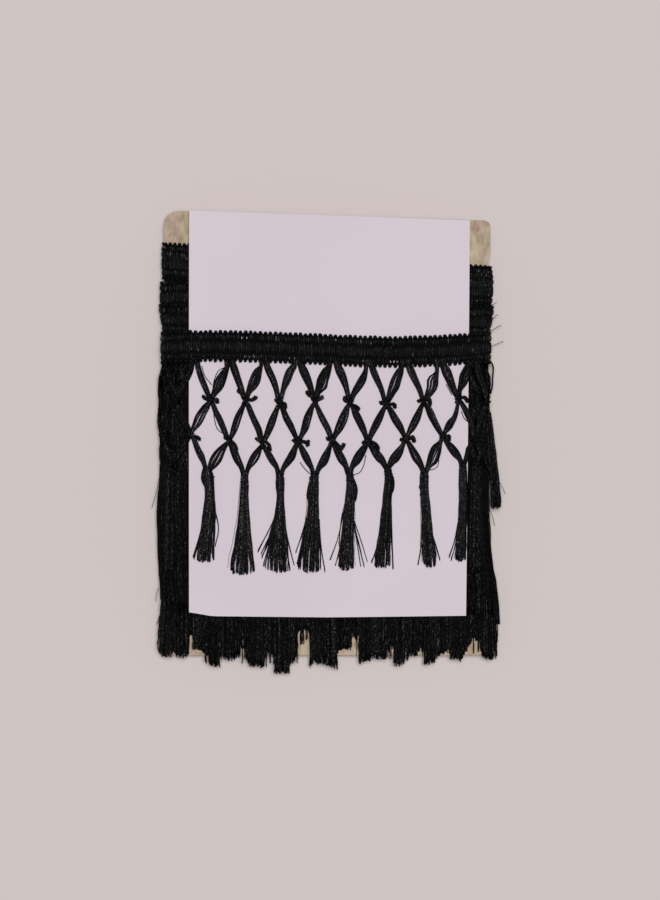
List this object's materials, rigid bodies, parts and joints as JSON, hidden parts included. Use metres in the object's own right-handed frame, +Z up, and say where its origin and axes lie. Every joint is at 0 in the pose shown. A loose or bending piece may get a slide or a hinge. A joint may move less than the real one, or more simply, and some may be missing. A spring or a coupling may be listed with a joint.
{
  "type": "tassel fringe trim wound on a card",
  "caption": "Black knotted tassel fringe with a woven picot heading, wound flat round a board card with a plain paper sheet under its front turn.",
  "frame": {"origin": "on the table under the middle of the object's outline, as it lies flat", "axes": "+X across the card to the right, +Y along the card towards its bare top edge, +Z up through the front turn"},
  "size_m": [0.1834, 0.2448, 0.0215],
  "materials": {
    "board": "matt grey-brown board",
    "paper": "plain matt paper",
    "yarn": "black yarn with a faint sheen"
  },
  "bodies": {
    "root": {"card": "board", "insert_sheet": "paper", "wound_turns": "yarn", "front_heading": "yarn", "front_net": "yarn", "side_tassel": "yarn", "lower_fringe": "yarn", "back_fringe": "yarn", "tassel_0": "yarn", "tassel_1": "yarn", "tassel_2": "yarn", "tassel_3": "yarn", "tassel_4": "yarn", "tassel_5": "yarn", "tassel_6": "yarn", "tassel_7": "yarn", "tassel_8": "yarn", "tassel_9": "yarn"}
  },
  "joints": []
}
